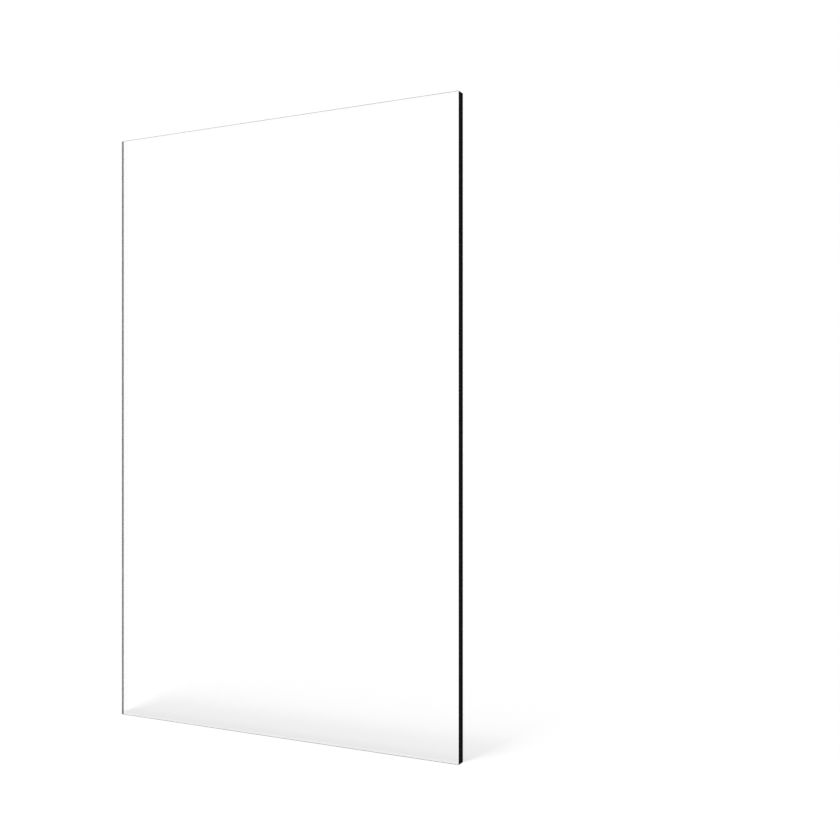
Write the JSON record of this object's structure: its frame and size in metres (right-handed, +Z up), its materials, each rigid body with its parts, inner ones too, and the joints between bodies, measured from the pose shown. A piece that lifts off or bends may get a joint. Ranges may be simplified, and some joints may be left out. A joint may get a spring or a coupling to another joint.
{
  "type": "clear acrylic sheet",
  "caption": "Flat rectangular sheet of clear acrylic with polished faces and square, lightly eased edges, used as glazing, a guard, a cover or blank stock.",
  "frame": {"origin": "middle of the underside, where the sheet lies on a level floor", "axes": "+X across the width, +Y along the length, +Z up through the thickness"},
  "size_m": [0.2794, 0.4318, 0.0063],
  "materials": {
    "clear_acrylic": "polished"
  },
  "bodies": {
    "root": {"acrylic_sheet": "clear_acrylic"}
  },
  "joints": []
}
